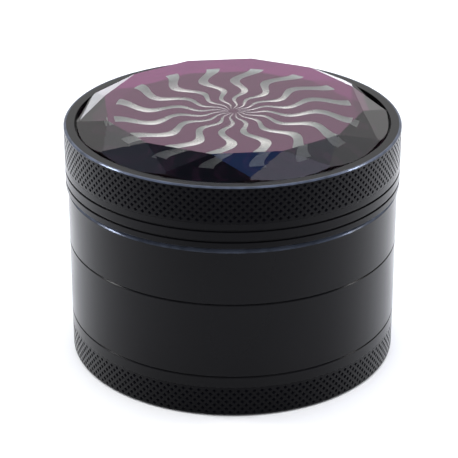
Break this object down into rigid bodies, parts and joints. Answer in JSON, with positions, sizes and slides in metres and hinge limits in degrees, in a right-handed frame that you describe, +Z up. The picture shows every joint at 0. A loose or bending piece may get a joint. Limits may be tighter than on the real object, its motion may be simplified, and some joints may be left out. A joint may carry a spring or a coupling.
{
  "type": "herb and spice grinder",
  "caption": "Round hand grinder with a faceted glass top on a magnetic lid, toothed chamber, threaded storage ring with sifting screen, and knurled base.",
  "frame": {"origin": "centre of the base's flat underside", "axes": "+Z up along the common axis of all the turned parts; +X lies between two teeth of the chamber's middle ring"},
  "size_m": [0.063, 0.063, 0.0489],
  "materials": {
    "anodised_metal": "black anodised, smooth satin gloss",
    "clear_glass": "clear, polished facets",
    "mirror_foil": "dark plum mirror with embossed silver waves",
    "adhesive": "black acrylic foam adhesive",
    "nickel_plating": "nickel-plated magnet",
    "slip_plastic": "natural white low-friction plastic",
    "screen_steel": "stainless steel"
  },
  "bodies": {
    "base": {"base_catcher": "anodised_metal"},
    "screen_clamp": {"screen_retaining_ring": "screen_steel"},
    "storage": {"storage_ring": "anodised_metal", "sifting_screen": "screen_steel", "screen_frame": "screen_steel"},
    "chamber_core": {"chamber_magnet": "nickel_plating"},
    "chamber": {"grinding_chamber": "anodised_metal"},
    "slip": {"slip_ring": "slip_plastic"},
    "lid": {"lid": "anodised_metal", "faceted_glass": "clear_glass", "decor_foil": "mirror_foil", "glass_adhesive": "adhesive", "lid_magnet": "nickel_plating"}
  },
  "joints": [
    {"name": "storage_rise", "type": "slide", "parent": "base", "child": "screen_clamp", "axis": [0, 0, 1], "range_m": [0, 0.00313]},
    {"name": "storage_turn", "type": "hinge", "parent": "screen_clamp", "child": "storage", "pos_m": [0, 0, 0.0082], "axis": [0, 0, 1], "range_deg": [0, 750]},
    {"name": "chamber_rise", "type": "slide", "parent": "storage", "child": "chamber_core", "axis": [0, 0, 1], "range_m": [0, 0.00313]},
    {"name": "chamber_turn", "type": "hinge", "parent": "chamber_core", "child": "chamber", "pos_m": [0, 0, 0.023], "axis": [0, 0, 1], "range_deg": [0, 750]},
    {"name": "lid_lift", "type": "slide", "parent": "chamber", "child": "slip", "axis": [0, 0, 1], "range_m": [0, 0.045]},
    {"name": "lid_spin", "type": "hinge", "parent": "slip", "child": "lid", "pos_m": [0, 0, 0.0344], "axis": [0, 0, 1], "continuous": true}
  ],
  "couplings": [
    {"joint": "storage_rise", "follows": "storage_turn", "m_per_rad": 0.00023873},
    {"joint": "chamber_rise", "follows": "chamber_turn", "m_per_rad": 0.00023873}
  ]
}
